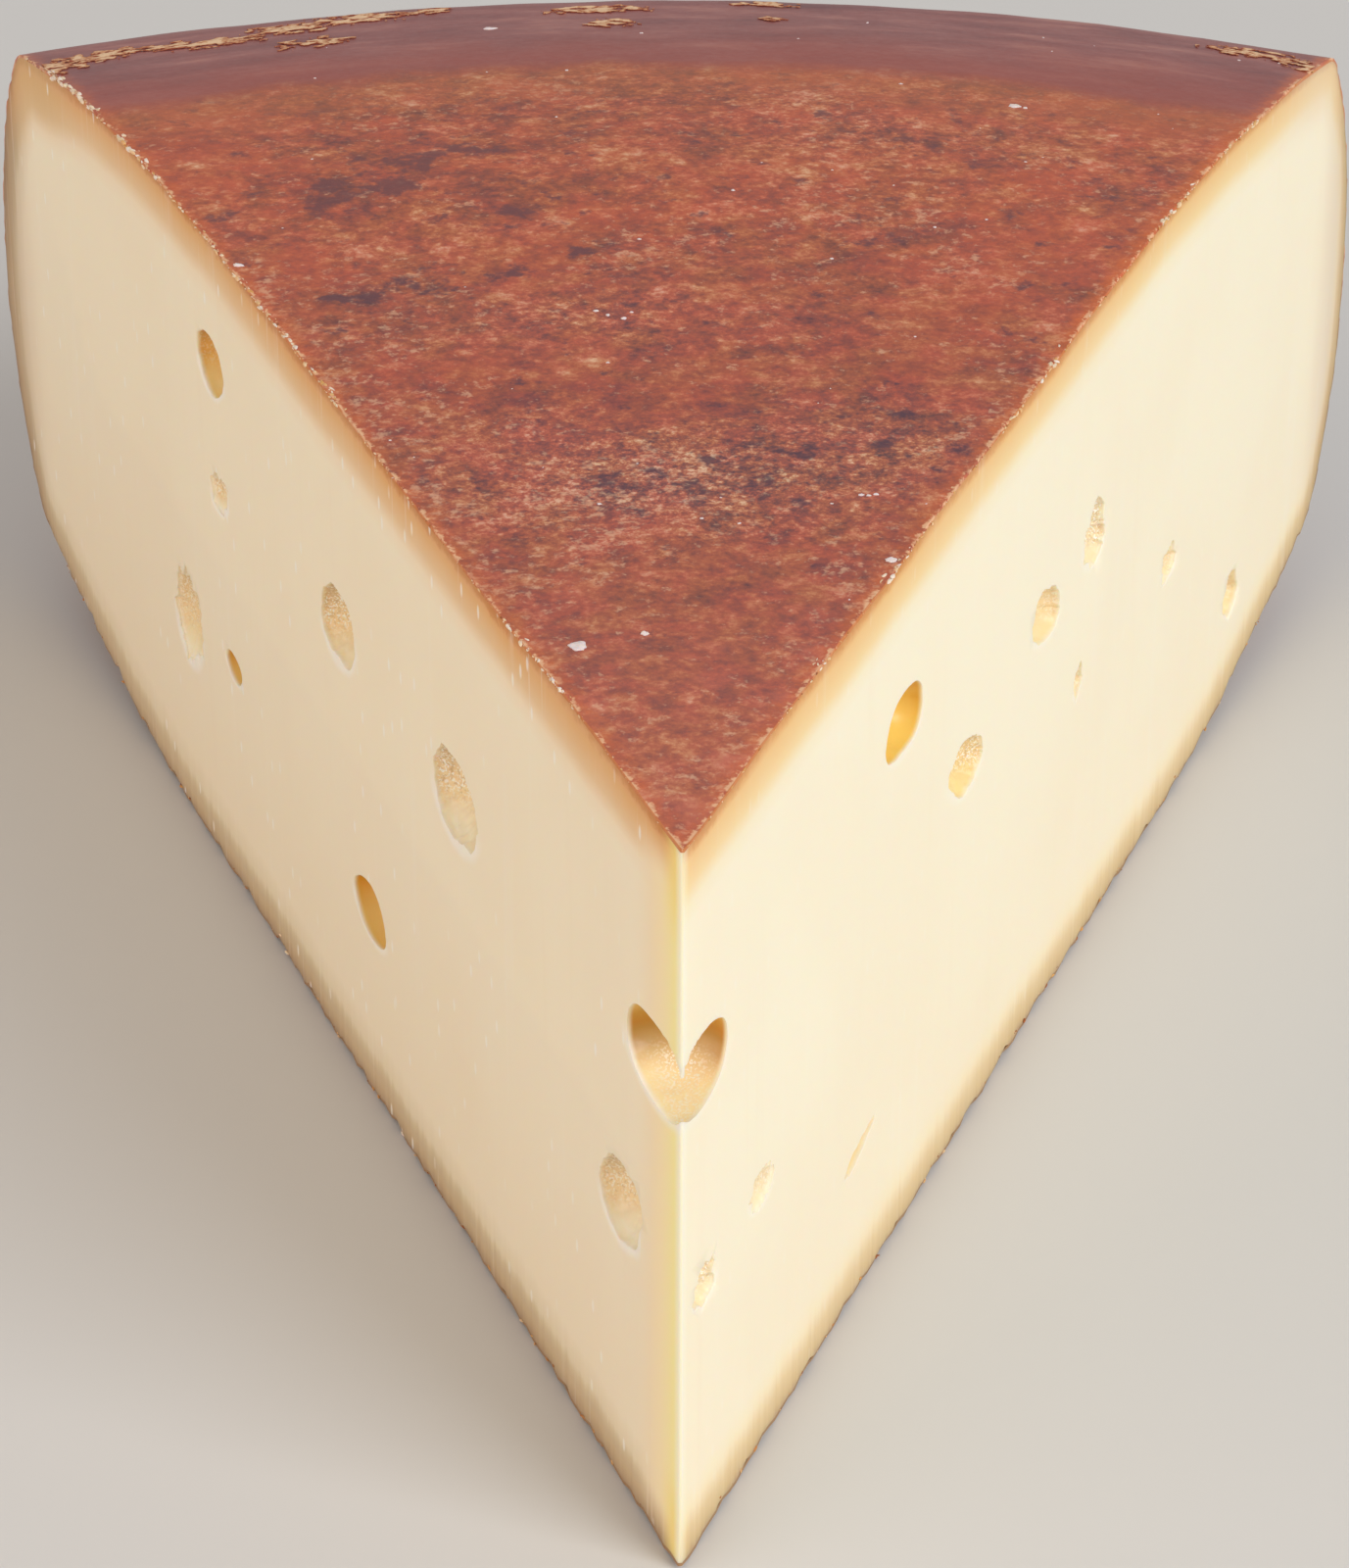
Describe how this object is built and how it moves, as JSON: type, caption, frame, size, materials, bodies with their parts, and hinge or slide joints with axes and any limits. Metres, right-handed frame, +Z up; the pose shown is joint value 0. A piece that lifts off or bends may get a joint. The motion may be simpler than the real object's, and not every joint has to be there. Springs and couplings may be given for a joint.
{
  "type": "cheese wedge",
  "caption": "Wedge of semi-hard washed-rind mountain cheese: pale yellow paste with scattered eyes on two flat cut faces, and a reddish-brown rind on top, underside and rounded heel.",
  "frame": {"origin": "middle of the wedge's box, at the flat underside it rests on", "axes": "+Z up from the underside to the top rind, +Y from the sharp tip towards the rounded rind heel, +X to the right when looking from the tip to the heel"},
  "size_m": [0.161, 0.2102, 0.0804],
  "materials": {
    "paste": "freshly cut, slightly moist cheese paste with a faint waxy sheen, pale ivory to straw, ochre just under the rind",
    "rind": "washed rind, brick brown with tan and dark mottling, dull on the flat top and glossy on the smooth shoulder"
  },
  "bodies": {
    "root": {"cheese_wedge": "paste"}
  },
  "joints": []
}
